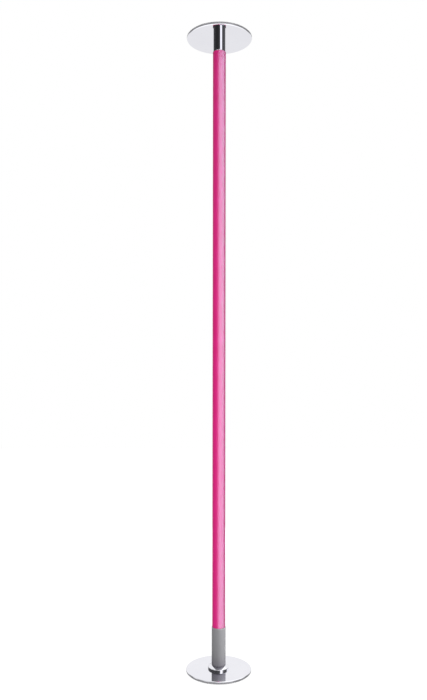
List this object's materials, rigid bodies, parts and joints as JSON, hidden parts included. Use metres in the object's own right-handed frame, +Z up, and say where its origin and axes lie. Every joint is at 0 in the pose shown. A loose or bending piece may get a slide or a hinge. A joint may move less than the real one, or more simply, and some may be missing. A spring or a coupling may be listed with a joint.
{
  "type": "dance pole",
  "caption": "Floor-to-ceiling dance pole: joined pink steel tubes between two polished round plates, with a jacking screw at its foot under a grey sleeve.",
  "frame": {"origin": "centre of the floor pad's underside, where the pole's axis meets the floor", "axes": "+Z up along the pole, -Y towards the pictured front, +X to its right"},
  "size_m": [0.25, 0.25, 2.4378],
  "materials": {
    "pink_coat": "gloss",
    "chrome": "polished",
    "steel": "satin",
    "dark_steel": "satin",
    "cast_aluminium": "satin",
    "grey_silicone": "matte",
    "black_rubber": "matte",
    "nylon": "satin"
  },
  "bodies": {
    "base": {"floor_pad": "black_rubber", "base_plate": "chrome", "hub_ring": "chrome", "hub_screw_1": "dark_steel", "hub_screw_2": "dark_steel", "hub_screw_3": "dark_steel", "hub_screw_4": "dark_steel", "thrust_washer": "nylon", "collar_washer": "nylon"},
    "screw": {"adjuster_screw": "steel"},
    "sleeve": {"adjuster_sleeve": "grey_silicone"},
    "pole": {"tube_end_nut": "steel", "nut_pin_1": "steel", "nut_pin_2": "steel", "nut_pin_3": "steel", "lower_tube": "pink_coat", "long_extension_tube": "pink_coat", "short_extension_tube": "pink_coat", "upper_tube": "pink_coat", "joiner_1_front_shell": "cast_aluminium", "joiner_2_front_shell": "cast_aluminium", "joiner_3_front_shell": "cast_aluminium", "stop_plug": "cast_aluminium", "stop_plug_screw": "dark_steel", "neck_buffer": "black_rubber"},
    "neck_guide": {"neck_guide_bush": "nylon"},
    "ceiling_mount": {"ceiling_neck": "chrome", "ceiling_plate": "chrome", "neck_plug": "steel", "plate_bolt": "dark_steel", "ceiling_pad": "black_rubber"},
    "joiner_1_clamp": {"joiner_1_back_shell": "cast_aluminium"},
    "joiner_1_lower_jack": {"joiner_1_lower_jack_screw": "dark_steel"},
    "joiner_1_upper_jack": {"joiner_1_upper_jack_screw": "dark_steel"},
    "joiner_2_clamp": {"joiner_2_back_shell": "cast_aluminium"},
    "joiner_2_lower_jack": {"joiner_2_lower_jack_screw": "dark_steel"},
    "joiner_2_upper_jack": {"joiner_2_upper_jack_screw": "dark_steel"},
    "joiner_3_clamp": {"joiner_3_back_shell": "cast_aluminium"},
    "joiner_3_lower_jack": {"joiner_3_lower_jack_screw": "dark_steel"},
    "joiner_3_upper_jack": {"joiner_3_upper_jack_screw": "dark_steel"}
  },
  "joints": [
    {"name": "pole_lift", "type": "slide", "parent": "base", "child": "pole", "axis": [0, 0, 1], "range_m": [-0.005, 0.095]},
    {"name": "screw_turn", "type": "hinge", "parent": "base", "child": "screw", "pos_m": [0, 0, 0.0245], "axis": [0, 0, 1], "range_deg": [-3421, 181]},
    {"name": "sleeve_slide", "type": "slide", "parent": "base", "child": "sleeve", "axis": [0, 0, 1], "range_m": [0, 0.2]},
    {"name": "joiner_1_clamp_slide", "type": "slide", "parent": "pole", "child": "joiner_1_clamp", "axis": [0, 1, 0], "range_m": [-0.0008, 0]},
    {"name": "joiner_1_lower_jack_turn", "type": "hinge", "parent": "pole", "child": "joiner_1_lower_jack", "pos_m": [0, 0, 1.2718], "axis": [0, 1, 0], "range_deg": [0, 231]},
    {"name": "joiner_1_upper_jack_turn", "type": "hinge", "parent": "pole", "child": "joiner_1_upper_jack", "pos_m": [0, 0, 1.3318], "axis": [0, 1, 0], "range_deg": [0, 231]},
    {"name": "joiner_2_clamp_slide", "type": "slide", "parent": "pole", "child": "joiner_2_clamp", "axis": [0, 1, 0], "range_m": [-0.0008, 0]},
    {"name": "joiner_2_lower_jack_turn", "type": "hinge", "parent": "pole", "child": "joiner_2_lower_jack", "pos_m": [0, 0, 1.5218], "axis": [0, 1, 0], "range_deg": [0, 231]},
    {"name": "joiner_2_upper_jack_turn", "type": "hinge", "parent": "pole", "child": "joiner_2_upper_jack", "pos_m": [0, 0, 1.5818], "axis": [0, 1, 0], "range_deg": [0, 231]},
    {"name": "joiner_3_clamp_slide", "type": "slide", "parent": "pole", "child": "joiner_3_clamp", "axis": [0, 1, 0], "range_m": [-0.0008, 0]},
    {"name": "joiner_3_lower_jack_turn", "type": "hinge", "parent": "pole", "child": "joiner_3_lower_jack", "pos_m": [0, 0, 1.6468], "axis": [0, 1, 0], "range_deg": [0, 231]},
    {"name": "joiner_3_upper_jack_turn", "type": "hinge", "parent": "pole", "child": "joiner_3_upper_jack", "pos_m": [0, 0, 1.7068], "axis": [0, 1, 0], "range_deg": [0, 231]},
    {"name": "ceiling_mount_lift", "type": "slide", "parent": "pole", "child": "neck_guide", "axis": [0, 0, 1], "range_m": [0, 0.065]},
    {"name": "ceiling_mount_swivel", "type": "hinge", "parent": "neck_guide", "child": "ceiling_mount", "pos_m": [0, 0, 2.3788], "axis": [0, 0, 1], "continuous": true}
  ],
  "couplings": [
    {"joint": "screw_turn", "follows": "pole_lift", "rad_per_m": -628.32},
    {"joint": "joiner_1_lower_jack_turn", "follows": "joiner_1_clamp_slide", "rad_per_m": -5026.5},
    {"joint": "joiner_1_upper_jack_turn", "follows": "joiner_1_clamp_slide", "rad_per_m": -5026.5},
    {"joint": "joiner_2_lower_jack_turn", "follows": "joiner_2_clamp_slide", "rad_per_m": -5026.5},
    {"joint": "joiner_2_upper_jack_turn", "follows": "joiner_2_clamp_slide", "rad_per_m": -5026.5},
    {"joint": "joiner_3_lower_jack_turn", "follows": "joiner_3_clamp_slide", "rad_per_m": -5026.5},
    {"joint": "joiner_3_upper_jack_turn", "follows": "joiner_3_clamp_slide", "rad_per_m": -5026.5}
  ]
}
